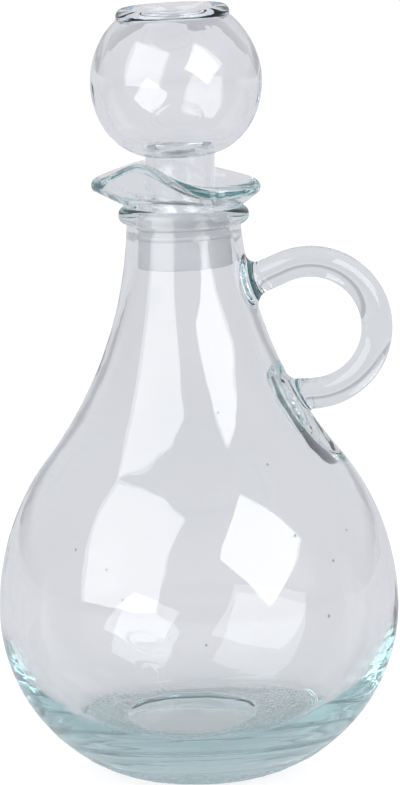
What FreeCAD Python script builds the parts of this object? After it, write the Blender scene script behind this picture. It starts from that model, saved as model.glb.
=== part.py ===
"""Blown glass oil bottle with a fused ring handle, a pinched pouring lip and a hollow ball stopper.

Millimetres, +Z up.  The origin is the middle of the ring that the bottle stands on, +X runs to
the handle and the pouring spout points to -X.  The bottle is hand made: its round body leans on
its foot, the tooled finish (collar and lip) sits almost upright on the leaning neck, and the
stopper leans a little further than both.
"""
import FreeCAD, Part
import os
import re
from math import atan2, cos, degrees, exp, pi, radians, sin

import Sketcher

Vector = FreeCAD.Vector

# ---------------------------------------------------------------------------------------------
# Driving dimensions (millimetres and degrees)
# ---------------------------------------------------------------------------------------------
SIZES = {
    # body of the bottle, measured along its own leaning axis
    "bulb_radius": 55.0,        # outside radius at the widest level
    "bulb_height": 46.1,        # height of the widest level
    "heel_arc": 47.9,           # outside arc below the widest level
    "shoulder_arc": 67.4,       # outside arc above it
    "neck_radius": 15.4,        # narrowest outside radius
    "neck_height": 158.9,       # height where the neck is narrowest
    "body_lean": 2.3,           # lean of the body axis towards the spout
    "foot_shift": 3.0,          # the body axis meets the floor this far from the foot's middle
    "glass_wall": 2.2,
    "floor_height": 17.6,       # the inside floor of the heavy base is pushed up in the middle
    "floor_edge": 14.0,         # its height where it meets the wall
    "floor_radius": 34.0,
    "floor_round": 6.0,         # fillet between the floor and the wall
    "punt_radius": 17.4,        # shallow hollow under the base
    "punt_depth": 3.0,
    # ring handle
    "ring_height": 122.2,
    "ring_standoff": 12.0,      # from the wall to the ring's middle
    "ring_radius": 18.25,       # middle line of the glass rod
    "rod_radius": 4.25,
    "ring_turn": 112.0,         # the rod leaves the ring here and runs straight to the neck
    "root_depth": 3.0,          # how far the rod's ends reach into the wall
    "neck_flare": 3.6,          # fillet where the rod meets the neck
    "shoulder_flare": 1.6,      # fillet where it meets the shoulder
    "pad_height": 99.0,         # glass gather behind the lower end of the rod
    "pad_length": 16.6,
    "pad_width": 12.0,
    "pad_depth": 10.5,
    # finish: collar ring, mouth and pouring lip, on their own nearly upright axis
    "finish_height": 150.0,
    "finish_lean": 0.7,
    "collar_rise": 4.65,
    "collar_radius": 17.9,
    "collar_band": 2.35,
    "mouth_rise": 10.2,
    "mouth_radius": 15.9,
    "throat_flare": 1.3,
    "lip_rise": 12.0,           # middle of the rim above the finish's base
    "lip_radius": 21.2,
    "lip_band": 4.2,            # thickness of the rim
    "lip_root": 15.1,           # where the lip grows out of the mouth
    "spout_reach": 4.1,         # extra radius at the spout's tip
    "front_lift": 6.3,          # the two pinched sides of the spout
    "front_angle": 126.0,
    "back_lift": 4.3,
    "back_angle": 110.0,
    # hollow ball stopper, on its own axis through the neck
    "stopper_lean": 3.0,
    "ball_rise": 41.05,
    "ball_radius": 23.4,
    "ball_wall": 1.8,
    "under_arc": 17.0,          # tighter curve under the ball
    "under_angle": 32.0,
    "bead_rise": 59.4,          # fire-polished rim of the open top
    "bead_radius": 15.5,
    "bead_band": 2.2,
    "stem_radius": 9.5,
    "waist_rise": 21.3,
    "stem_end_radius": 8.7,
    "stem_drop": 8.3,
    "stem_wall": 2.0,
    # plastic sleeve that seals the stem in the neck
    "sleeve_gap": 0.15,
    "sleeve_radius": 12.4,
    "sleeve_top": 6.6,
    "sleeve_drop": 9.3,
    "rib_reach": 0.45,
    "rib_band": 0.6,
    "rib_first": 4.4,
    "rib_pitch": 2.6,
}
LIP_STATIONS = 36               # sections round the lip
FRONT_SHARPNESS = 7.0           # how tightly each side of the spout is pinched
BACK_SHARPNESS = 3.0
SPOUT_SHARPNESS = 6.0
RIBS = 3

doc = FreeCAD.newDocument("oil_bottle")
sheet = doc.addObject("Spreadsheet::Sheet", "sizes")
for row, (alias, size) in enumerate(SIZES.items(), start=1):
    sheet.set(f"A{row}", alias)
    sheet.set(f"B{row}", str(size))
    sheet.setAlias(f"B{row}", alias)
doc.recompute()


def bound(text):
    """Turn size names in a formula into references to the sheet."""
    return re.sub(r"[a-z_]+", lambda word: f"sizes.{word[0]}" if word[0] in SIZES else word[0], text)


def value(text):
    """Number that a formula of size names has now."""
    return float(sheet.evalExpression(bound(text)))


def bind(thing, **formulas):
    """Tie properties of an object to the sheet; a double underscore stands for a dot."""
    for name, text in formulas.items():
        thing.setExpression(name.replace("__", "."), bound(text))


# Lengths that follow from the driving ones
NECK_ARC = ("(((neck_radius - bulb_radius + shoulder_arc)^2 + (neck_height - bulb_height)^2"
            " - shoulder_arc^2) / (2 * (bulb_radius - neck_radius)))")


def wall_radius(height):
    """Outside radius of the neck's concave arc at a height on the body axis."""
    return f"(neck_radius + {NECK_ARC} - sqrt({NECK_ARC}^2 - (neck_height - ({height}))^2))"


RING_X = f"({wall_radius('ring_height')} + ring_standoff)"
FLOOR_DOME = ("((floor_radius^2 + (floor_height - floor_edge)^2)"
              " / (2 * (floor_height - floor_edge)))")
FLOOR_ARC_X = ("(((bulb_radius - glass_wall)^2 - floor_radius^2 - (bulb_height - floor_edge)^2)"
               " / (2 * (bulb_radius - glass_wall - floor_radius)))")
FINISH_X = "(foot_shift - finish_height * tan(body_lean * 1 deg))"


# ---------------------------------------------------------------------------------------------
# Helpers
# ---------------------------------------------------------------------------------------------
def sketch_on(body, role, name):
    """Empty sketch on one of a body's own origin planes."""
    sketch = body.newObject("Sketcher::SketchObject", name)
    plane = [item for item in body.Origin.OriginFeatures if item.Role == role][0]
    sketch.AttachmentSupport = [(plane, "")]
    sketch.MapMode = "FlatFace"
    sketch.Visibility = False
    return sketch


def outline(body, name, points, arcs=None, closed=True):
    """Upright sketch through points given as pairs of formulas.

    arcs maps the number of a side, which runs from that point to the next, to the formula of its
    radius.  A minus sign in front turns the arc clockwise; the others turn counter-clockwise.
    """
    arcs = arcs or {}
    sketch = sketch_on(body, "XZ_Plane", name)
    places = [(value(x), value(y)) for x, y in points]
    sides = []
    for number in range(len(points) if closed else len(points) - 1):
        start, end = places[number], places[(number + 1) % len(points)]
        if number not in arcs:
            line = Part.LineSegment(Vector(*start, 0), Vector(*end, 0))
            sides.append((sketch.addGeometry(line, False), 1, 2))
            continue
        clockwise = arcs[number].startswith("-")
        radius = value(arcs[number].lstrip("-"))
        first, last = (end, start) if clockwise else (start, end)
        chord = Vector(last[0] - first[0], last[1] - first[1], 0)
        height = max(radius ** 2 - (chord.Length / 2) ** 2, 0.0) ** 0.5
        across = Vector(-chord.y, chord.x, 0).normalize() * height
        centre = Vector(*first, 0) + chord / 2 + across
        swing = [atan2(place[1] - centre.y, place[0] - centre.x) for place in (first, last)]
        arc = Part.ArcOfCircle(Part.Circle(centre, Vector(0, 0, 1), radius), *swing)
        side = sketch.addGeometry(arc, False)
        sides.append((side, 2, 1) if clockwise else (side, 1, 2))
        dimension(sketch, arcs[number].lstrip("-"), "Radius", side)
    for here, there in zip(sides, sides[1:] + (sides[:1] if closed else [])):
        sketch.addConstraint(Sketcher.Constraint("Coincident", here[0], here[2], there[0], there[1]))
    ends = [(side, start) for side, start, _ in sides]
    if not closed:
        ends.append((sides[-1][0], sides[-1][2]))
    for (side, end), (x, y) in zip(ends, points):
        for kind, axis, formula in (("DistanceX", -2, x), ("DistanceY", -1, y)):
            if formula == "0":
                sketch.addConstraint(Sketcher.Constraint("PointOnObject", side, end, axis))
            else:
                dimension(sketch, formula, kind, side, end)
    return sketch


def dimension(sketch, formula, kind, *where):
    """Add a dimension whose value is a formula of the sheet's sizes."""
    number = sketch.addConstraint(Sketcher.Constraint(kind, *where, value(formula)))
    sketch.renameConstraint(number, f"size_{number}")
    sketch.setExpression(f"Constraints.size_{number}", bound(formula))


def revolve(body, name, sketch, feature="PartDesign::Revolution"):
    """Turn a sketch round the body's own upright axis."""
    turned = body.newObject(feature, name)
    turned.Profile = sketch
    turned.ReferenceAxis = (sketch, ["V_Axis"])
    turned.Angle = 360
    return turned


def stand(thing, x, z, lean):
    """Put an object on an axis that starts at x, z and leans towards the spout."""
    thing.Placement.Rotation = FreeCAD.Rotation(Vector(0, -1, 0), value(lean))
    bind(thing, Placement__Base__x=x, Placement__Base__z=z, Placement__Rotation__Angle=lean)


def boolean(kind, name, base, tool):
    """Part::Cut or Part::Fuse of two objects."""
    joined = doc.addObject(kind, name)
    joined.Base, joined.Tool = base, tool
    joined.Refine = False
    return joined


def settled():
    """Recompute, and stop if any object failed."""
    doc.recompute()
    failed = [item.Name for item in doc.Objects if {"Invalid", "Error"} & set(item.State)]
    if failed:
        raise RuntimeError(f"failed objects: {failed}")


# ---------------------------------------------------------------------------------------------
# Round body with its ring handle, on the leaning body axis
# ---------------------------------------------------------------------------------------------
def inflection(gap):
    """Where the shoulder arc meets the neck arc, drawn a gap inside the outer surface."""
    shoulder_x = "(bulb_radius - shoulder_arc)"
    reach = f"(neck_radius + {NECK_ARC} - {shoulder_x})"
    share = f"((shoulder_arc - {gap}) / (shoulder_arc + {NECK_ARC}))"
    rise = f"((neck_height - bulb_height) * {share})"
    return f"({shoulder_x} + {reach} * {share})", f"(bulb_height + {rise})"


glass_body = doc.addObject("PartDesign::Body", "glass_body")
bulb = outline(glass_body, "bulb_outline", [
    ("0", "bulb_height - heel_arc"),
    ("bulb_radius - heel_arc", "bulb_height - heel_arc"),
    ("bulb_radius", "bulb_height"),
    inflection("0"),
    ("neck_radius", "neck_height"),
    ("0", "neck_height"),
], {1: "heel_arc", 2: "shoulder_arc", 3: "-" + NECK_ARC})
revolve(glass_body, "bulb", bulb)

ROOT_X = f"({wall_radius('ring_height - ring_radius')} - root_depth)"
LEAVE_X = f"({RING_X} + ring_radius * cos(ring_turn * 1 deg))"
LEAVE_Z = "(ring_height + ring_radius * sin(ring_turn * 1 deg))"
NECK_ROOT_X = f"({wall_radius(LEAVE_Z)} - root_depth)"
NECK_ROOT_Z = f"({LEAVE_Z} - ({LEAVE_X} - {NECK_ROOT_X}) * tan((ring_turn - 90) * 1 deg))"
rod_path = outline(glass_body, "rod_path", [
    (ROOT_X, "ring_height - ring_radius"),
    (RING_X, "ring_height - ring_radius"),
    (f"{RING_X} + ring_radius", "ring_height"),
    (LEAVE_X, LEAVE_Z),
    (NECK_ROOT_X, NECK_ROOT_Z),
], {1: "ring_radius", 2: "ring_radius"}, closed=False)

rod_section = sketch_on(glass_body, "YZ_Plane", "rod_section")
bind(rod_section, AttachmentOffset__Base__z=ROOT_X)
rod_height = "ring_height - ring_radius"
rod_circle = Part.Circle(Vector(0, value(rod_height), 0), Vector(0, 0, 1), value("rod_radius"))
rod_section.addGeometry(rod_circle, False)
rod_section.addConstraint(Sketcher.Constraint("PointOnObject", 0, 3, -2))
dimension(rod_section, rod_height, "DistanceY", 0, 3)
dimension(rod_section, "rod_radius", "Radius", 0)

handle = glass_body.newObject("PartDesign::AdditivePipe", "handle")
handle.Profile = rod_section
handle.Spine = (rod_path, [f"Edge{number + 1}" for number in range(4)])
settled()


def root_edges(shape, above):
    """Names of the edges where the rod meets the wall, above or below the ring's middle."""
    names = []
    for number, edge in enumerate(shape.Edges, start=1):
        crossing = isinstance(edge.Curve, Part.BSplineCurve)
        if crossing and (edge.CenterOfMass.z > value("ring_height")) == above:
            names.append(f"Edge{number}")
    return names


feet = handle
FEET = (("neck_foot", True, "neck_flare"), ("shoulder_foot", False, "shoulder_flare"))
for name, above, flare in FEET:
    fillet = glass_body.newObject("PartDesign::Fillet", name)
    fillet.Base = (feet, root_edges(feet.Shape, above))
    bind(fillet, Radius=flare)
    settled()
    feet = fillet
stand(glass_body, "foot_shift", "0", "body_lean")

# ---------------------------------------------------------------------------------------------
# Finish: collar ring, mouth and pouring lip, on the finish's own axis
# ---------------------------------------------------------------------------------------------
COLLAR_X = "(collar_radius - collar_band)"
GROOVE_Z = "(collar_rise + sqrt(collar_band^2 - (mouth_radius - collar_radius + collar_band)^2))"
finish = doc.addObject("PartDesign::Body", "finish")
collar = outline(finish, "collar_outline", [
    ("0", "collar_rise - collar_band"),
    (COLLAR_X, "collar_rise - collar_band"),
    ("collar_radius", "collar_rise"),
    ("mouth_radius", GROOVE_Z),
    ("mouth_radius", "mouth_rise - throat_flare"),
    ("lip_root", "mouth_rise"),
    ("0", "mouth_rise"),
], {1: "collar_band", 2: "collar_band"})
revolve(finish, "collar", collar)
stand(finish, FINISH_X, "finish_height", "finish_lean")


def swell(angle, middle, sharpness):
    """Smooth bump round the axis, 1 at the middle angle (degrees) and near 0 far from it."""
    return exp(sharpness * (cos(radians(angle - middle)) - 1))


def lip_section(angle):
    """Poles (radius, height) of the rounded lip section at an angle from the handle."""
    reach = value("lip_radius") + value("spout_reach") * swell(angle, 180, SPOUT_SHARPNESS)
    rise = (value("lip_rise")
            + value("front_lift") * swell(angle, -value("front_angle"), FRONT_SHARPNESS)
            + value("back_lift") * swell(angle, value("back_angle"), BACK_SHARPNESS))
    half = value("lip_band") / 2
    root = Vector(value("lip_root"), value("mouth_rise") - half * 0.6, 0)
    tip = Vector(reach - half, rise, 0)
    along = (tip - root).normalize()
    up = Vector(-along.y, along.x, 0)
    steps = ((root, -0.6, -0.5), (root, 0.0, -1.0), (root.add(tip) / 2, 0.0, -1.0), (tip, 0.0, -1.0),
             (tip, 1.0, -0.6), (tip, 1.0, 0.6), (tip, 0.0, 1.0), (root.add(tip) / 2, 0.0, 1.0),
             (root, 0.0, 0.9), (root, -0.6, 0.5))
    return [base + along * (out * half) + up * (over * half) for base, out, over in steps]


def pour_lip():
    """Ring of lip sections as one smooth surface that closes both ways."""
    spread = 3 / (2 + cos(2 * pi / LIP_STATIONS))
    poles = []
    for station in range(LIP_STATIONS):
        turn = 2 * pi * station / LIP_STATIONS
        section = lip_section(degrees(turn))
        poles.append([Vector(pole.x * spread * cos(turn), pole.x * spread * sin(turn), pole.y)
                      for pole in section])
    surface = Part.BSplineSurface()
    count = len(poles[0])
    surface.buildFromPolesMultsKnots(
        poles, [1] * (LIP_STATIONS + 1), [1] * (count + 1),
        list(range(LIP_STATIONS + 1)), list(range(count + 1)), True, True, 3, 3)
    ring = Part.Solid(Part.Shell([surface.toShape()]))
    if ring.Volume < 0:
        ring.reverse()
    return ring


lip = doc.addObject("Part::Feature", "lip")
lip.Shape = pour_lip()
stand(lip, FINISH_X, "finish_height", "finish_lean")

# ---------------------------------------------------------------------------------------------
# Inside of the bottle
# ---------------------------------------------------------------------------------------------
INNER_RADIUS = "(bulb_radius - glass_wall)"
hollow = doc.addObject("PartDesign::Body", "hollow")
inside = outline(hollow, "hollow_outline", [
    ("0", "floor_height"),
    ("floor_radius", "floor_edge"),
    (INNER_RADIUS, "bulb_height"),
    inflection("glass_wall"),
    ("neck_radius - glass_wall", "neck_height"),
    ("0", "neck_height"),
], {
    0: "-" + FLOOR_DOME,
    1: f"({INNER_RADIUS} - {FLOOR_ARC_X})",
    2: "(shoulder_arc - glass_wall)",
    3: f"-({NECK_ARC} + glass_wall)",
})
hollow_bulb = revolve(hollow, "hollow_bulb", inside)
settled()
tops = [edge.BoundBox.ZMax for edge in hollow_bulb.Shape.Edges]
floor_fillet = hollow.newObject("PartDesign::Fillet", "floor_fillet")
floor_fillet.Base = (hollow_bulb, [f"Edge{tops.index(min(tops)) + 1}"])
bind(floor_fillet, Radius="floor_round")
stand(hollow, "foot_shift", "0", "body_lean")

# the gather of glass that carries the handle's lower end bulges into the bulb
PAD_SLOPE = f"atan(({wall_radius('pad_height - 1')} - {wall_radius('pad_height + 1')}) / 2)"
PAD_X = wall_radius("pad_height")
pad = doc.addObject("Part::Ellipsoid", "pad")
bind(pad, Radius1="pad_length", Radius2="pad_depth", Radius3="pad_width")
stand(pad, f"(foot_shift + {PAD_X} * cos(body_lean * 1 deg) - pad_height * sin(body_lean * 1 deg))",
      f"({PAD_X} * sin(body_lean * 1 deg) + pad_height * cos(body_lean * 1 deg))",
      f"(body_lean + {PAD_SLOPE} / 1 deg)")
bulb_space = boolean("Part::Cut", "bulb_space", hollow, pad)

BORE = "(neck_radius - glass_wall)"
throat = doc.addObject("PartDesign::Body", "throat")
bore = outline(throat, "bore_outline", [
    ("0", "-throat_flare"),
    (BORE, "-throat_flare"),
    (BORE, "mouth_rise - throat_flare"),
    (f"({BORE} + throat_flare)", "mouth_rise"),
    ("0", "mouth_rise"),
], {2: "-throat_flare"})
revolve(throat, "bore", bore)
stand(throat, FINISH_X, "finish_height", "finish_lean")

# the base stands on a ring: the floor cuts the round bottom, and a shallow punt hollows it
floor = doc.addObject("Part::Box", "floor")
bind(floor, Length="4 * bulb_radius", Width="4 * bulb_radius", Height="bulb_radius",
     Placement__Base__x="-2 * bulb_radius", Placement__Base__y="-2 * bulb_radius",
     Placement__Base__z="-bulb_radius")
PUNT_BALL = "((punt_radius^2 + punt_depth^2) / (2 * punt_depth))"
punt = doc.addObject("Part::Sphere", "punt")
bind(punt, Radius=PUNT_BALL, Placement__Base__z=f"(punt_depth - {PUNT_BALL})")

necked = boolean("Part::Fuse", "necked", glass_body, finish)
blank = boolean("Part::Fuse", "blank", necked, lip)
open_bulb = boolean("Part::Cut", "open_bulb", blank, bulb_space)
open_mouth = boolean("Part::Cut", "open_mouth", open_bulb, throat)
flat_foot = boolean("Part::Cut", "flat_foot", open_mouth, floor)
bottle = boolean("Part::Cut", "bottle", flat_foot, punt)

# ---------------------------------------------------------------------------------------------
# Hollow ball stopper, on its own axis through the neck
# ---------------------------------------------------------------------------------------------
UNDER_X = "((ball_radius - under_arc) * cos(under_angle * 1 deg))"
UNDER_Z = "(ball_rise - (ball_radius - under_arc) * sin(under_angle * 1 deg))"
TURN_X = "(ball_radius * cos(under_angle * 1 deg))"
TURN_Z = "(ball_rise - ball_radius * sin(under_angle * 1 deg))"
BEAD_X = "(bead_radius - bead_band)"


def bead_joint(radius, side):
    """Where a ball surface of some radius meets the bead; side is + outside and - inside."""
    far = f"sqrt({BEAD_X}^2 + (bead_rise - ball_rise)^2)"
    along = f"(({radius}^2 + {far}^2 - bead_band^2) / (2 * {far}))"
    off = f"({side} sqrt({radius}^2 - {along}^2))"
    return (f"(({along} * {BEAD_X} + {off} * (bead_rise - ball_rise)) / {far})",
            f"(ball_rise + ({along} * (bead_rise - ball_rise) - {off} * {BEAD_X}) / {far})")


stopper = doc.addObject("PartDesign::Body", "stopper")
solid_ball = outline(stopper, "ball_outline", [
    ("0", "-stem_drop"),
    ("stem_end_radius", "-stem_drop"),
    ("stem_radius", f"({UNDER_Z} - sqrt(under_arc^2 - (stem_radius - {UNDER_X})^2))"),
    (TURN_X, TURN_Z),
    ("ball_radius", "ball_rise"),
    bead_joint("ball_radius", "+"),
    ("bead_radius", "bead_rise"),
    (BEAD_X, "bead_rise + bead_band"),
    ("0", "bead_rise + bead_band"),
], {2: "under_arc", 3: "ball_radius", 4: "ball_radius", 5: "bead_band", 6: "bead_band"})
revolve(stopper, "ball", solid_ball)
INNER_BALL = "(ball_radius - ball_wall)"
STEM_HOLE = "(stem_end_radius - stem_wall)"
ball_space = outline(stopper, "ball_space", [
    ("0", "stem_wall - stem_drop"),
    (STEM_HOLE, "stem_wall - stem_drop"),
    (STEM_HOLE, f"({UNDER_Z} - sqrt((under_arc - ball_wall)^2 - ({STEM_HOLE} - {UNDER_X})^2))"),
    (f"({INNER_BALL} * cos(under_angle * 1 deg))",
     f"(ball_rise - {INNER_BALL} * sin(under_angle * 1 deg))"),
    (INNER_BALL, "ball_rise"),
    bead_joint(INNER_BALL, "-"),
    ("(bead_radius - 2 * bead_band)", "bead_rise"),
    (BEAD_X, "bead_rise + bead_band"),
    ("0", "bead_rise + bead_band"),
], {2: "(under_arc - ball_wall)", 3: INNER_BALL, 4: INNER_BALL, 5: "-bead_band", 6: "-bead_band"})
revolve(stopper, "ball_hole", ball_space, "PartDesign::Groove")
stand(stopper, FINISH_X, "finish_height", "stopper_lean")

# ---------------------------------------------------------------------------------------------
# Ribbed plastic sleeve between the stem and the neck, on the stopper's axis
# ---------------------------------------------------------------------------------------------
def stem_at(rise):
    """Outside radius of the stem at a rise on the stopper's axis."""
    share = f"(({rise} + stem_drop) / (waist_rise + stem_drop))"
    return f"(stem_end_radius + (stem_radius - stem_end_radius) * {share})"


sleeve = doc.addObject("PartDesign::Body", "seal_sleeve")
tube = outline(sleeve, "tube_outline", [
    (f"({stem_at('-sleeve_drop')} + sleeve_gap)", "-sleeve_drop"),
    ("sleeve_radius", "-sleeve_drop"),
    ("sleeve_radius", "sleeve_top"),
    (f"({stem_at('sleeve_top')} + sleeve_gap)", "sleeve_top"),
])
revolve(sleeve, "tube", tube)
rib = outline(sleeve, "rib_outline", [
    ("sleeve_radius - rib_band", "rib_first - rib_band"),
    ("(sleeve_radius + rib_reach)", "rib_first - rib_band / 2"),
    ("(sleeve_radius + rib_reach)", "rib_first + rib_band / 2"),
    ("sleeve_radius - rib_band", "rib_first + rib_band"),
])
first_rib = revolve(sleeve, "rib", rib)
pattern = sleeve.newObject("PartDesign::LinearPattern", "ribs")
pattern.Originals = [first_rib]
pattern.Direction = (rib, ["V_Axis"])
pattern.Reversed = True
pattern.Occurrences = RIBS
bind(pattern, Length=f"rib_pitch * {RIBS - 1}")
sleeve.Tip = pattern
stand(sleeve, FINISH_X, "finish_height", "stopper_lean")

# ---------------------------------------------------------------------------------------------
# Write each piece to its own file, once everything is sound
# ---------------------------------------------------------------------------------------------
settled()
PIECES = (bottle, stopper, sleeve)
for piece in PIECES:
    if piece.Shape.isNull() or not piece.Shape.isValid() or len(piece.Shape.Solids) != 1:
        raise RuntimeError(f"{piece.Label} is not one valid solid")
os.makedirs("parts", exist_ok=True)
for piece in PIECES:
    piece.Shape.exportStep(f"parts/{piece.Label}.step")
    print(piece.Label, "volume", round(piece.Shape.Volume), "mm3")
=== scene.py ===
from math import atan2, cos, exp, hypot, log, pi, radians, sin, sqrt

import bmesh
import bpy
from mathutils import Matrix, Vector, noise


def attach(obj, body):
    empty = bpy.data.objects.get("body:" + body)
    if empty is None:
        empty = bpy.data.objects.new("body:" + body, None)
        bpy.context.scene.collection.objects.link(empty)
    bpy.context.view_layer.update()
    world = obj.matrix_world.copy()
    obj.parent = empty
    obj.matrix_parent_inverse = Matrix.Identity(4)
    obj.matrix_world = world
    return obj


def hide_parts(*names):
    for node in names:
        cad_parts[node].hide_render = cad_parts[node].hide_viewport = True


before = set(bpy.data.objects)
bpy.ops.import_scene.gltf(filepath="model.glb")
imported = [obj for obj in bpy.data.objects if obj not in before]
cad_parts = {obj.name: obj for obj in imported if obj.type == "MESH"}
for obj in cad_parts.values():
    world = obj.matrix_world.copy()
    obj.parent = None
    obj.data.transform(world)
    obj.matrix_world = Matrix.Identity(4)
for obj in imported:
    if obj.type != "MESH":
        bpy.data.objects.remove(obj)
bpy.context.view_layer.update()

scene = bpy.context.scene

# ---------------------------------------------------------------------------------------------
# Bottle: soda-lime glass blown into a mould, about 2 mm thick with a heavy pushed-up base.
# Its neck was reheated to tool the collar and to pinch the pouring lip, and a hot rod was
# stuck on as the ring handle.  It leans a little on its foot.  Sizes are in millimetres.
# ---------------------------------------------------------------------------------------------
WALL = 2.2
BULB_LEVEL = 46.1                # the widest level
HEEL_SWEEP, HEEL_CENTRE = 47.9, 7.1               # radius and middle of the heel's arc
SHOULDER_SWEEP, SHOULDER_CENTRE = 67.4, -12.4     # and of the shoulder's
SHOULDER_TURN = 38.69            # degrees of the shoulder, where it meets the neck's curve
SHOULDER_END = 88.2              # level of that meeting
NECK_LEVEL, NECK_RADIUS = 158.9, 15.4             # where the neck is narrowest
NECK_SWEEP = 113.05              # radius of the long concave curve of the neck
NECK_CENTRE = NECK_RADIUS + NECK_SWEEP
FINISH_LEVEL = 150.12            # where the tooled finish starts on the body's axis
FINISH_X, FINISH_Z = -3.02, 150.0
BODY_LEAN, FINISH_LEAN = 2.3, 0.7
PUNT_RADIUS, PUNT_DEPTH, PUNT_BALL = 17.4, 3.0, 51.96
FLOOR_LEVEL = 17.6               # top of the pushed-up floor
LIP_ROOT = (15.1, 8.94)          # radius and height where the lip grows out of the mouth
LIP_REACH, LIP_RISE = 21.2, 12.0
BORE = 13.2                      # inside radius of the mouth
RIM = 1.96                       # half the thickness of the rim
RIM_MIDDLE = LIP_REACH - 2.1     # middle of the round rim
STEPS_ROUND = 192


def smooth(value, low, high):
    """0 below low, 1 above high, and a soft step between."""
    share = min(max((value - low) / (high - low), 0.0), 1.0)
    return share * share * (3 - 2 * share)


def draw_line(start, path):
    """Profile drawn by one point: (x, z) carries it straight, (centre, degrees, steps) round."""
    line = bmesh.new()
    tip = line.verts.new((start[0], 0, start[1]))
    for leg in path:
        if len(leg) == 2:
            made = bmesh.ops.extrude_vert_indiv(line, verts=[tip])
            tip = made["verts"][0]
            tip.co = (leg[0], 0, leg[1])
        else:
            centre, swing, steps = leg
            made = bmesh.ops.spin(line, geom=[tip], cent=(centre[0], 0, centre[1]),
                                  axis=(0, -1, 0), angle=radians(swing), steps=steps)
            tip = [item for item in made["geom_last"] if isinstance(item, bmesh.types.BMVert)][0]
    return line


def turn(line):
    """Spin a profile all the way round the upright axis."""
    bmesh.ops.spin(line, geom=line.verts[:] + line.edges[:], cent=(0, 0, 0), axis=(0, 0, 1),
                   angle=2 * pi, steps=STEPS_ROUND, use_merge=True)
    bmesh.ops.remove_doubles(line, verts=line.verts, dist=0.002)
    bmesh.ops.recalc_face_normals(line, faces=line.faces)
    return line


def finished(form, name, material, node_name):
    """Scale a form from millimetres, shade it smooth and hand it to the frame."""
    bmesh.ops.scale(form, vec=(0.001, 0.001, 0.001), verts=form.verts)
    mesh = bpy.data.meshes.new(name)
    form.to_mesh(mesh)
    form.free()
    mesh.shade_smooth()
    mesh.set_sharp_from_angle(angle=radians(50))
    mesh.materials.append(material)
    piece = bpy.data.objects.new(name, mesh)
    scene.collection.objects.link(piece)
    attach(piece, "root")
    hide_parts(node_name)
    return piece


def neck_wall(level):
    """Outside radius of the concave neck at a level on the body's axis."""
    return NECK_CENTRE - sqrt(NECK_SWEEP ** 2 - (NECK_LEVEL - level) ** 2)


def on_finish(radius, rise):
    """Point of the finish, at a radius and a rise above its base."""
    return radius, rise + FINISH_LEVEL


# outside from the foot to the collar, the lip, and back down the inside to the pushed-up floor
rim_run = Vector((RIM_MIDDLE - LIP_ROOT[0], LIP_RISE - LIP_ROOT[1]))
rim_length = rim_run.length
rim_along = rim_run / rim_length
rim_up = Vector((-rim_along.y, rim_along.x))


def on_lip(along, up):
    """Point of the lip, measured along its middle line and square to it."""
    spot = Vector(LIP_ROOT) + rim_along * along + rim_up * up
    return on_finish(spot.x, spot.y)


profile = draw_line((0, BULB_LEVEL - HEEL_SWEEP), [
    (HEEL_CENTRE, BULB_LEVEL - HEEL_SWEEP),
    ((HEEL_CENTRE, BULB_LEVEL), 34, 92),                # heel, finely cut where it stands
    ((HEEL_CENTRE, BULB_LEVEL), 56, 46),
    ((SHOULDER_CENTRE, BULB_LEVEL), SHOULDER_TURN, 28), # shoulder
    ((NECK_CENTRE, NECK_LEVEL), -35.4, 40),             # neck
    on_finish(15.56, 2.3),
    (on_finish(15.55, 4.65), 172, 20),                  # collar ring
    on_finish(15.95, 7.25),
    on_lip(0.9, -RIM), on_lip(2.3, -RIM), on_lip(3.7, -RIM), on_lip(rim_length, -RIM),
    (on_lip(rim_length, 0), 180, 16),                   # round rim
    on_lip(4.0, RIM), on_lip(3.0, RIM), on_lip(2.0, RIM), on_lip(0.9, RIM), on_lip(-0.26, RIM),
    (on_finish(14.5, 9.30), 52.6, 6),                   # throat
    on_finish(BORE, 7.6), on_finish(BORE, 5.6), on_finish(BORE, 3.6), on_finish(13.22, 1.6),
    on_finish(13.32, 0.2), on_finish(13.55, -1.0), on_finish(13.69, -1.82),
    ((NECK_CENTRE, NECK_LEVEL), 33.41, 46),             # inside of the neck
    ((SHOULDER_CENTRE, BULB_LEVEL), -SHOULDER_TURN, 34),
    ((16.0, BULB_LEVEL), -56.72, 30),
    ((32.9, 20.355), -44.55, 10),                       # fillet round the floor
    ((0, -144.8), 10.9, 26), (0, FLOOR_LEVEL),          # pushed-up floor
])
bottle = turn(profile)


SPOUT_REACH = 4.1                # how far the spout stands out past the rest of the rim
FRONT_LIFT, BACK_LIFT = 6.3, 4.3                  # how far the pinched sides rise


def swell(angle, middle, sharpness):
    """1 at the middle angle, falling off smoothly to both sides."""
    return exp(sharpness * (cos(radians(angle - middle)) - 1))


def pinch_lip(spot):
    """Lift and draw out the rim where the hot lip was pinched into a spout."""
    radius, rise = hypot(spot.x, spot.y), spot.z - FINISH_LEVEL
    offset = Vector((radius, rise)) - Vector(LIP_ROOT)
    along, up = offset.dot(rim_along), offset.dot(rim_up)
    share = smooth(along, -0.3, 2.6)
    if share == 0 or rise < 6.5:
        return spot
    angle = atan2(spot.y, spot.x) * 180 / pi
    reach = RIM_MIDDLE + SPOUT_REACH * swell(angle, 180, 6)
    lift = LIP_RISE + FRONT_LIFT * swell(angle, -126, 7) + BACK_LIFT * swell(angle, 110, 3)
    run = Vector((reach - LIP_ROOT[0], lift - LIP_ROOT[1]))
    if along < rim_length:
        longer = along * run.length / rim_length
    else:
        longer = along + run.length - rim_length
    run.normalize()
    moved = Vector(LIP_ROOT) + run * longer + Vector((-run.y, run.x)) * up
    moved = Vector((radius, rise)).lerp(moved, share)
    return Vector((spot.x * moved.x / radius, spot.y * moved.x / radius, moved.y + FINISH_LEVEL))


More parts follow.
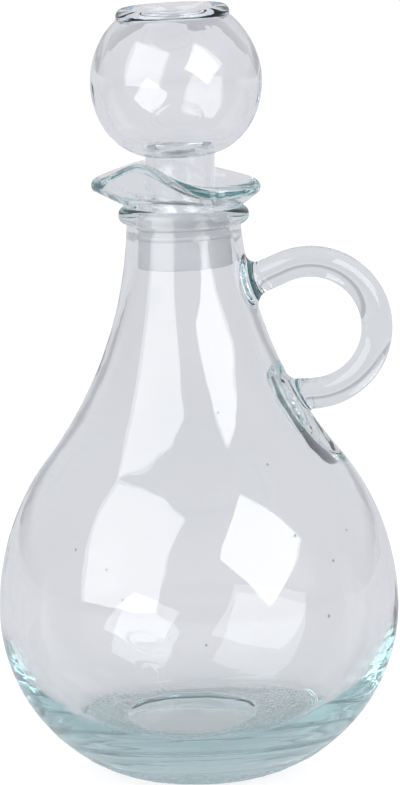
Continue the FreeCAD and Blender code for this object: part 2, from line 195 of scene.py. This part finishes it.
# the gather of glass behind the lower end of the rod bulges into the bulb
PAD_LEVEL, PAD_LENGTH, PAD_WIDTH, PAD_DEPTH, PAD_FACE = 99.0, 16.6, 12.0, 10.5, 5.2
pad_centre = Vector((neck_wall(PAD_LEVEL), 0, PAD_LEVEL))
pad_slope = atan2((neck_wall(PAD_LEVEL - 1) - neck_wall(PAD_LEVEL + 1)) / 2, 1)
pad_along = Vector((-sin(pad_slope), 0, cos(pad_slope)))
pad_inward = Vector((-cos(pad_slope), 0, -sin(pad_slope)))


def is_inside(spot):
    """Whether a point of the neck or shoulder is on the inner surface."""
    return 80 < spot.z < 125 and hypot(spot.x, spot.y) < neck_wall(spot.z) - 1.2


def near_pad(spot):
    """Whether a point of the inner surface is where the gather may push it in."""
    offset = spot - pad_centre
    return (spot.x > 0 and is_inside(spot) and abs(offset.dot(pad_along)) < PAD_LENGTH * 1.1
            and abs(spot.y) < PAD_WIDTH * 1.15)


def press_pad(spot):
    """Push the inner surface in to the gather's rounded side and its flat, uneven face."""
    if not near_pad(spot):
        return spot
    offset = spot - pad_centre
    room = 1 - (offset.dot(pad_along) / PAD_LENGTH) ** 2 - (spot.y / PAD_WIDTH) ** 2
    depth = offset.dot(pad_inward)
    swollen = PAD_DEPTH * sqrt(room) if room > 0 else 0.0
    face = PAD_FACE + spot.y ** 2 / 60 + noise.noise(spot / 5) * 0.8
    wanted = -log(exp(-swollen / 0.7) + exp(-face / 0.7)) * 0.7
    gap, blend = wanted - depth, 0.5
    push = (gap + sqrt(gap * gap + blend * blend)) / 2 - blend * 0.2 * smooth(-gap, 0, 2)
    return spot + pad_inward * max(push if gap > -2 else 0.0, 0.0)


fine = [edge for edge in bottle.edges if all(near_pad(vert.co) for vert in edge.verts)]
bmesh.ops.subdivide_edges(bottle, edges=fine, cuts=2, use_grid_fill=True)


def ripple(spot):
    """Uneven skin: soft waves, mould rings and stipple round the heel."""
    radius = hypot(spot.x, spot.y)
    if radius < 1 or spot.z > 146:
        return spot
    outward = Vector((spot.x, spot.y, 0)) / radius
    inner = radius < 52.9 and spot.z > 14 and not (spot.z < BULB_LEVEL and radius > 49.5)
    move = noise.noise(spot / 17) * 0.16 + noise.noise(spot / 7) * 0.05
    move *= (0.8 if inner else 0.35) * smooth(spot.z, 4, 20)
    if inner or spot.z > 40:
        return spot + outward * move
    centre = Vector((outward.x * HEEL_CENTRE, outward.y * HEEL_CENTRE, BULB_LEVEL))
    heel = (spot - centre).normalized()
    rings = noise.noise(Vector((outward.x * 0.7, outward.y * 0.7, spot.z / 1.5)))
    move += rings * 0.11 * smooth(spot.z, 1.0, 3.0) * (1 - smooth(spot.z, 16, 34))
    grain = noise.noise(spot / 0.9) * smooth(radius, 20.3, 21.3) * (1 - smooth(radius, 30.6, 31.4))
    lines = exp(-((radius - 31.6) / 0.35) ** 2) + exp(-((radius - 33.0) / 0.35) ** 2)
    return spot + outward * move + heel * (grain * 0.16 + lines * 0.14)


for vert in bottle.verts:
    vert.co = ripple(press_pad(pinch_lip(vert.co)))

# ring handle: a straight foot, the ring, and a straight upper end that flares into the neck
RING_LEVEL, RING_RADIUS, ROD = 122.2, 18.25, 4.25
RING_X = neck_wall(RING_LEVEL) + 12.0             # middle of the ring
RING_TURN = 112.0                # the rod leaves the ring here and runs straight to the neck
NECK_FLARE, SHOULDER_FLARE = 3.6, 1.6

rod = bmesh.new()
bmesh.ops.create_circle(rod, segments=56, radius=ROD)
bmesh.ops.rotate(rod, cent=(0, 0, 0), matrix=Matrix.Rotation(pi / 2, 3, "Y"), verts=rod.verts)
bmesh.ops.translate(rod, vec=(RING_X, 0, RING_LEVEL - RING_RADIUS), verts=rod.verts)
lower_end = rod.edges[:]
made = bmesh.ops.spin(rod, geom=rod.verts[:] + rod.edges[:], cent=(RING_X, 0, RING_LEVEL),
                      axis=(0, -1, 0), angle=radians(90 + RING_TURN), steps=90)
upper_end = [item for item in made["geom_last"] if isinstance(item, bmesh.types.BMEdge)]


def to_wall(spot, way):
    """Distance from a point along a direction to the outside of the neck."""
    low, high = 0.0, 30.0
    for _ in range(40):
        middle = (low + high) / 2
        here = spot + way * middle
        if hypot(here.x, here.y) > neck_wall(here.z):
            low = middle
        else:
            high = middle
    return low


def grow_foot(end, way, flare):
    """Carry a rod end to the wall, flare it where the hot glass wetted the neck, and cap it."""
    verts = list({vert for edge in end for vert in edge.verts})
    middle = sum((vert.co for vert in verts), Vector()) / len(verts)
    ring = {vert: vert.co - middle for vert in verts}
    rings = [(gap * flare, 1.0)
             for gap in (2.2, 1.55, 1.0, 0.75, 0.54, 0.37, 0.23, 0.12, 0.04, 0.0)]
    rings += [(-0.35, 1.0), (-0.9, 1.0), (-0.9, 0.72), (-0.9, 0.4), (-0.9, 0.12)]
    for gap, share in rings:
        made = bmesh.ops.extrude_edge_only(rod, edges=end)["geom"]
        end = [item for item in made if isinstance(item, bmesh.types.BMEdge)
               and all(vert in made for vert in item.verts)]
        fresh = [item for item in made if isinstance(item, bmesh.types.BMVert)]
        end = [edge for edge in end if all(vert in fresh for vert in edge.verts)]
        spread = flare - sqrt(max(flare ** 2 - max(flare - max(gap, 0), 0) ** 2, 0))
        grown = {}
        for vert in fresh:
            source = min(ring, key=lambda old: (old.co - vert.co).length_squared)
            offset = ring[source]
            start = middle + offset * ((1 + spread / ROD) * share)
            vert.co = start + way * (to_wall(start, way) - gap)
            grown[vert] = offset
        ring = grown
    bmesh.ops.holes_fill(rod, edges=end, sides=0)


grow_foot(lower_end, Vector((-1, 0, 0)), SHOULDER_FLARE)
tangent = radians(RING_TURN - 90)
grow_foot(upper_end, Vector((-cos(tangent), 0, -sin(tangent))), NECK_FLARE)
bmesh.ops.recalc_face_normals(rod, faces=rod.faces)


def loose_object(form, name):
    """Object for the fuse alone, taken away after it."""
    mesh = bpy.data.meshes.new(name)
    form.to_mesh(mesh)
    form.free()
    item = bpy.data.objects.new(name, mesh)
    scene.collection.objects.link(item)
    return item


blown, handle = loose_object(bottle, "blown"), loose_object(rod, "handle")
fuse = blown.modifiers.new("fuse_handle", "BOOLEAN")
fuse.operation, fuse.solver, fuse.object = "UNION", "MANIFOLD", handle
fused = bpy.data.meshes.new_from_object(blown.evaluated_get(bpy.context.evaluated_depsgraph_get()))
bottle = bmesh.new()
bottle.from_mesh(fused)
for item in (blown, handle):
    bpy.data.objects.remove(item)
bmesh.ops.remove_doubles(bottle, verts=bottle.verts, dist=0.01)


def lean(spot):
    """Tilt the body on its foot, and the finish less than the body."""
    rise = spot.z - FINISH_LEVEL
    tilt = radians(BODY_LEAN + (FINISH_LEAN - BODY_LEAN) * smooth(rise, -4, 2))
    return Vector((FINISH_X + spot.x * cos(tilt) - rise * sin(tilt), spot.y,
                   FINISH_Z + spot.x * sin(tilt) + rise * cos(tilt)))


def stand(spot):
    """Flatten the foot ring and hollow the punt inside it."""
    reach = hypot(spot.x, spot.y)
    dome = sqrt(max(PUNT_BALL ** 2 - reach ** 2, 0)) - PUNT_BALL + PUNT_DEPTH
    ground = dome if reach < PUNT_RADIUS else 0.0
    if spot.z > 3:
        return spot
    gap, blend = ground - spot.z, 0.12
    lifted = spot.z + (gap + sqrt(gap * gap + blend * blend)) / 2
    return Vector((spot.x, spot.y, max(lifted - (blend / 2 if ground == 0 else 0), 0.0)))


for vert in bottle.verts:
    vert.co = stand(lean(vert.co))


def bulb_wall(level):
    """Outside radius of the body at a level on its axis."""
    if level < BULB_LEVEL:
        return HEEL_CENTRE + sqrt(HEEL_SWEEP ** 2 - (BULB_LEVEL - level) ** 2)
    if level < SHOULDER_END:
        return SHOULDER_CENTRE + sqrt(SHOULDER_SWEEP ** 2 - (level - BULB_LEVEL) ** 2)
    return neck_wall(level)


# seeds: tiny air bubbles left in the melt, as hollows in the middle of the wall, each given by
# its degrees round the body, its level and its radius
for angle, level, size in ((-57, 72, 0.36), (-45, 64, 0.30), (-50, 50, 0.36), (-88, 46, 0.28),
                           (-58, 90, 0.30), (-112, 58, 0.22), (-75, 104, 0.24), (-130, 70, 0.26),
                           (35, 60, 0.3), (120, 48, 0.34), (160, 82, 0.26)):
    radius = bulb_wall(level) - WALL / 2
    middle = lean(Vector((radius * cos(radians(angle)), radius * sin(radians(angle)), level)))
    shape = Matrix.Translation(middle) @ Matrix.Diagonal((1, 1, 1.4, 1))
    seed = bmesh.ops.create_icosphere(bottle, subdivisions=2, radius=size, matrix=shape)
    hollow = list({face for vert in seed["verts"] for face in vert.link_faces})
    bmesh.ops.reverse_faces(bottle, faces=hollow)


def hex_colour(code):
    """Linear colour of an sRGB hex value."""
    def channel(pair):
        part = int(pair, 16) / 255
        return part / 12.92 if part <= 0.04045 else ((part + 0.055) / 1.055) ** 2.4
    return tuple(channel(code[place:place + 2]) for place in (1, 3, 5)) + (1.0,)


def add(tree, kind, inputs, **settings):
    """Add a shader node with its settings, and its inputs as values or links."""
    made = tree.nodes.new("ShaderNode" + kind)
    for name, setting in settings.items():
        setattr(made, name, setting)
    for name, given in inputs.items():
        if isinstance(given, bpy.types.NodeSocket):
            tree.links.new(given, made.inputs[name])
        else:
            made.inputs[name].default_value = given
    return made


def new_material(name):
    """Empty node material and its tree."""
    material = bpy.data.materials.new(name)
    material.use_nodes = True
    material.node_tree.nodes.clear()
    return material, material.node_tree


# Mould-blown soda-lime glass: clear in the thin wall, and a pale blue-green where it is thick,
# because the iron in it takes out some red.  The skin has long soft waves, and a fine stipple
# from the mould round the foot.
bottle_glass, tree = new_material("blown_soda_lime_glass")
place = add(tree, "TexCoord", {})
waves = add(tree, "TexNoise", {"Vector": place.outputs["Object"], "Scale": 70.0, "Detail": 2.0})
skin = add(tree, "Bump", {"Strength": 0.25, "Distance": 0.0004, "Height": waves.outputs["Fac"]})
grain = add(tree, "TexNoise", {"Vector": place.outputs["Object"], "Scale": 900.0, "Detail": 2.0})
split = add(tree, "SeparateXYZ", {"Vector": place.outputs["Object"]})
low = add(tree, "MapRange", {"Value": split.outputs["Z"], "From Min": 0.0052, "From Max": 0.0042})
out_x = add(tree, "Math", {0: split.outputs["X"], 1: split.outputs["X"]}, operation="MULTIPLY")
out_y = add(tree, "Math", {0: split.outputs["Y"], 1: split.outputs["Y"], 2: out_x.outputs[0]},
            operation="MULTIPLY_ADD")
away = add(tree, "Math", {0: out_y.outputs[0]}, operation="SQRT")
ring = add(tree, "MapRange", {"Value": away.outputs[0], "From Min": 0.0176, "From Max": 0.0190})
stippled = add(tree, "Math", {0: low.outputs[0], 1: ring.outputs[0]}, operation="MULTIPLY")
height = add(tree, "Math", {0: grain.outputs["Fac"], 1: stippled.outputs[0]}, operation="MULTIPLY")
stipple = add(tree, "Bump", {"Strength": 1.0, "Distance": 0.0010, "Height": height.outputs[0],
                             "Normal": skin.outputs[0]})
surface = add(tree, "BsdfPrincipled", {
    "Base Color": hex_colour("#ffffff"), "Roughness": 0.0, "IOR": 1.51,
    "Transmission Weight": 1.0, "Normal": stipple.outputs[0]})
tint = add(tree, "VolumeAbsorption", {"Color": (0.19, 0.555, 0.58, 1), "Density": 9.0})
add(tree, "OutputMaterial", {"Surface": surface.outputs[0], "Volume": tint.outputs[0]})

finished(bottle, "bottle_glass", bottle_glass, "bottle")

# ---------------------------------------------------------------------------------------------
# Stopper: a ball blown from the same glass, thin walled and open at the top with a fire-polished
# bead, drawn down into a hollow stem that stands loose in the neck.
# ---------------------------------------------------------------------------------------------
STOPPER_LEAN = 3.0
BALL_LEVEL = 41.05               # middle of the ball above the base of the finish

stopper = turn(draw_line((0, -8.3), [
    (4.0, -8.3), (7.9, -8.3),
    ((7.9, -7.5), 90, 6),
    (8.85, -2.0), (9.0, 4.0), (9.17, 10.0), (9.34, 16.0), (9.5, 21.15),
    ((5.43, 37.66), 44.14, 22),                         # hollow curve under the ball
    ((0, BALL_LEVEL), 80.93, 60),                       # ball
    ((13.3, 59.4), 194.3, 18),                          # fire-polished bead
    ((0, BALL_LEVEL), -91.03, 60),
    ((5.43, 37.66), -53.2, 22),
    (6.7, 16.0), (6.7, 10.0), (6.7, 4.0), (6.7, -5.5),
    ((5.9, -5.5), -90, 6),
    (0, -6.3),
]))
for vert in stopper.verts:
    spot = vert.co
    radius = hypot(spot.x, spot.y)
    if radius > 1 and spot.z > 26:
        outward = Vector((spot.x, spot.y, (spot.z - BALL_LEVEL) * 0.5)).normalized()
        inner = (spot - Vector((0, 0, BALL_LEVEL))).length < 22.5
        spot += outward * noise.noise(spot / 8 + Vector((40, 0, 0))) * (0.16 if inner else 0.06)
bmesh.ops.rotate(stopper, cent=(0, 0, 0), matrix=Matrix.Rotation(-radians(STOPPER_LEAN), 3, "Y"),
                 verts=stopper.verts)
bmesh.ops.translate(stopper, vec=(FINISH_X, 0, FINISH_Z), verts=stopper.verts)

# The same glass from a clearer batch, blown thin: nearly colourless, with soft waves.
stopper_glass, tree = new_material("clear_soda_lime_glass")
place = add(tree, "TexCoord", {})
waves = add(tree, "TexNoise", {"Vector": place.outputs["Object"], "Scale": 110.0, "Detail": 2.0})
skin = add(tree, "Bump", {"Strength": 0.25, "Distance": 0.0004, "Height": waves.outputs["Fac"]})
surface = add(tree, "BsdfPrincipled", {
    "Base Color": hex_colour("#ffffff"), "Roughness": 0.0, "IOR": 1.51,
    "Transmission Weight": 1.0, "Normal": skin.outputs[0]})
tint = add(tree, "VolumeAbsorption", {"Color": (0.40, 0.62, 0.74, 1), "Density": 10.0})
add(tree, "OutputMaterial", {"Surface": surface.outputs[0], "Volume": tint.outputs[0]})

finished(stopper, "stopper_glass", stopper_glass, "stopper")

# ---------------------------------------------------------------------------------------------
# Sleeve: a short tube of natural polyethylene, moulded with three thin ribs that grip the neck,
# pushed on to the stem of the stopper.
# ---------------------------------------------------------------------------------------------
SLEEVE_RADIUS, SLEEVE_DROP, SLEEVE_TOP = 12.4, -9.3, 6.6
SKIRT = 13.0                     # radius at the lower end
wall = [(8.83, SLEEVE_DROP + 0.3), (9.1, SLEEVE_DROP), (SKIRT - 0.3, SLEEVE_DROP),
        ((SKIRT - 0.3, SLEEVE_DROP + 0.3), 90, 4), (12.8, -5.5), (12.55, -3.0)]
for level in (-0.8, 1.8, 4.4):                    # each rib swells and falls back
    wall += [(SLEEVE_RADIUS, level - 0.6), (12.58, level - 0.48), (12.78, level - 0.33),
             (12.85, level - 0.12), (12.85, level + 0.12), (12.78, level + 0.33),
             (12.58, level + 0.48), (SLEEVE_RADIUS, level + 0.6)]
wall += [(SLEEVE_RADIUS, SLEEVE_TOP - 0.3), ((12.1, SLEEVE_TOP - 0.3), 90, 4),
         (9.5, SLEEVE_TOP), (9.26, SLEEVE_TOP - 0.25), (8.83, SLEEVE_DROP + 0.3)]
sleeve = turn(draw_line(wall[0], wall[1:]))
bmesh.ops.rotate(sleeve, cent=(0, 0, 0), matrix=Matrix.Rotation(-radians(STOPPER_LEAN), 3, "Y"),
                 verts=sleeve.verts)
bmesh.ops.translate(sleeve, vec=(FINISH_X, 0, FINISH_Z), verts=sleeve.verts)

# Natural low-density polyethylene, injection moulded: milky, half clear and slightly waxy.
polyethylene, tree = new_material("natural_polyethylene")
place = add(tree, "TexCoord", {})
cloud = add(tree, "TexNoise", {"Vector": place.outputs["Object"], "Scale": 260.0, "Detail": 3.0})
milk = add(tree, "Mix", {"Factor": cloud.outputs["Fac"], "A": hex_colour("#f2f4f8"),
                         "B": hex_colour("#fcfdff")}, data_type="RGBA")
skin = add(tree, "Bump", {"Strength": 0.2, "Distance": 0.0003, "Height": cloud.outputs["Fac"]})
surface = add(tree, "BsdfPrincipled", {
    "Base Color": milk.outputs["Result"], "Roughness": 0.38, "IOR": 1.51,
    "Transmission Weight": 0.3, "Normal": skin.outputs[0]})
add(tree, "OutputMaterial", {"Surface": surface.outputs[0]})

finished(sleeve, "seal_sleeve_pe", polyethylene, "seal_sleeve")

# ---------------------------------------------------------------------------------------------
# Floor: a matt white paper sweep.  It is white to the camera with the bottle's soft shadow on
# it, and the pale grey of the lit paper to whatever the glass shows.
# ---------------------------------------------------------------------------------------------
form = bmesh.new()
bmesh.ops.create_grid(form, x_segments=4, y_segments=4, size=30)
bmesh.ops.translate(form, vec=(0, 0, -0.0005), verts=form.verts)
mesh = bpy.data.meshes.new("floor")
form.to_mesh(mesh)
form.free()
paper, tree = new_material("white_paper")
path = add(tree, "LightPath", {})
fibre = add(tree, "TexNoise", {"Vector": add(tree, "TexCoord", {}).outputs["Object"],
                               "Scale": 400.0, "Detail": 3.0})
tone = add(tree, "Mix", {"Factor": fibre.outputs["Fac"], "A": (0.345, 0.345, 0.355, 1),
                         "B": (0.355, 0.355, 0.365, 1)}, data_type="RGBA")
matt = add(tree, "BsdfDiffuse", {"Color": tone.outputs["Result"]})
glow_seen = add(tree, "Emission", {"Color": (1, 1, 1, 1), "Strength": 0.78})
far = add(tree, "SeparateXYZ", {"Vector": add(tree, "TexCoord", {}).outputs["Object"]})
lift = add(tree, "MapRange", {"Value": far.outputs["Y"], "From Min": 0.2, "From Max": 2.0,
                              "To Min": 0.365, "To Max": 0.50})
glow_glass = add(tree, "Emission", {"Color": (0.965, 0.965, 1, 1), "Strength": lift.outputs[0]})
dark = add(tree, "Emission", {"Strength": 0.25})
in_glass = add(tree, "Math", {0: path.outputs["Is Glossy Ray"],
                              1: path.outputs["Is Transmission Ray"]}, operation="MAXIMUM")
other = add(tree, "MixShader", {0: in_glass.outputs[0], 1: dark.outputs[0],
                                2: glow_glass.outputs[0]})
glow = add(tree, "MixShader", {0: path.outputs["Is Camera Ray"], 1: other.outputs[0],
                               2: glow_seen.outputs[0]})
both = add(tree, "AddShader", {0: matt.outputs[0], 1: glow.outputs[0]})
add(tree, "OutputMaterial", {"Surface": both.outputs[0]})
mesh.materials.append(paper)
floor = bpy.data.objects.new("floor", mesh)
scene.collection.objects.link(floor)

# ---------------------------------------------------------------------------------------------
# Studio: an even pale room, darker far out to both sides and low down, which gives the glass
# its outlines.  A large softbox hangs on the left and a smaller one, on its corner, on the right.
# ---------------------------------------------------------------------------------------------
studio = bpy.data.worlds.new("studio")
scene.world = studio
studio.use_nodes = True
tree = studio.node_tree
tree.nodes.clear()
path = add(tree, "LightPath", {})
way = add(tree, "SeparateXYZ", {"Vector": add(tree, "TexCoord", {}).outputs["Generated"]})
aside = add(tree, "Math", {0: way.outputs["X"]}, operation="ABSOLUTE")
side = add(tree, "MapRange", {"Value": aside.outputs[0], "From Min": 0.78, "From Max": 1.0},
           interpolation_type="SMOOTHSTEP")
edge = add(tree, "MapRange", {"Value": way.outputs["Z"], "From Min": 0.17, "From Max": 0.07},
           interpolation_type="SMOOTHSTEP")
dark_part = add(tree, "Math", {0: side.outputs[0], 1: edge.outputs[0]}, operation="MAXIMUM")
shade = add(tree, "Mix", {"Factor": dark_part.outputs[0], "A": (0.70, 0.70, 0.735, 1),
                          "B": (0.47, 0.47, 0.50, 1)}, data_type="RGBA")
room = add(tree, "Background", {"Color": (0.66, 0.665, 0.70, 1), "Strength": 1.0})
sweep = add(tree, "Background", {"Color": shade.outputs["Result"], "Strength": 1.0})
white = add(tree, "Background", {"Color": (1, 1, 1, 1), "Strength": 1.0})
in_glass = add(tree, "Math", {0: path.outputs["Is Glossy Ray"],
                              1: path.outputs["Is Transmission Ray"]}, operation="MAXIMUM")
unseen = add(tree, "MixShader", {0: in_glass.outputs[0], 1: room.outputs[0], 2: sweep.outputs[0]})
seen = add(tree, "MixShader", {0: path.outputs["Is Camera Ray"], 1: unseen.outputs[0],
                               2: white.outputs[0]})
add(tree, "OutputWorld", {"Surface": seen.outputs[0]})


def softbox(name, azimuth, elevation, width, tall, power, roll=0):
    """Rectangular lamp 1.3 m from the bottle, at an azimuth right of the camera."""
    lamp = bpy.data.lights.new(name, "AREA")
    lamp.shape, lamp.size, lamp.size_y, lamp.energy = "RECTANGLE", width, tall, power
    item = bpy.data.objects.new(name, lamp)
    scene.collection.objects.link(item)
    across, up = radians(azimuth), radians(elevation)
    out = Vector((sin(across) * cos(up), -cos(across) * cos(up), sin(up)))
    turned = out.to_track_quat("Z", "Y") @ Matrix.Rotation(radians(roll), 3, "Z").to_quaternion()
    item.location = Vector((0, 0, 0.1)) + out * 1.3
    item.rotation_euler = turned.to_euler()
    item.visible_camera = False


softbox("left_softbox", -47, 27, 1.25, 1.3, 13)
softbox("right_softbox", 42, 29, 0.9, 0.9, 9, roll=45)

EYE_AWAY, EYE_HEIGHT, LOOK_HEIGHT = 1.4, 0.3279, 0.1054
camera = bpy.data.cameras.new("camera")
camera.sensor_width, camera.lens = 36, 5168.65 * 36 / 785
camera.clip_start, camera.clip_end = 0.05, 100
eye = bpy.data.objects.new("camera", camera)
scene.collection.objects.link(eye)
eye.location = (0.0014, -EYE_AWAY, EYE_HEIGHT)
eye.rotation_euler = (pi / 2 - atan2(EYE_HEIGHT - LOOK_HEIGHT, EYE_AWAY), 0, 0)
scene.camera = eye
scene.view_settings.view_transform = "Standard"
scene.cycles.max_bounces = 32    # light bounces many times inside thick glass
scene.cycles.glossy_bounces = 32
scene.cycles.transmission_bounces = 32
scene.cycles.transparent_max_bounces = 16
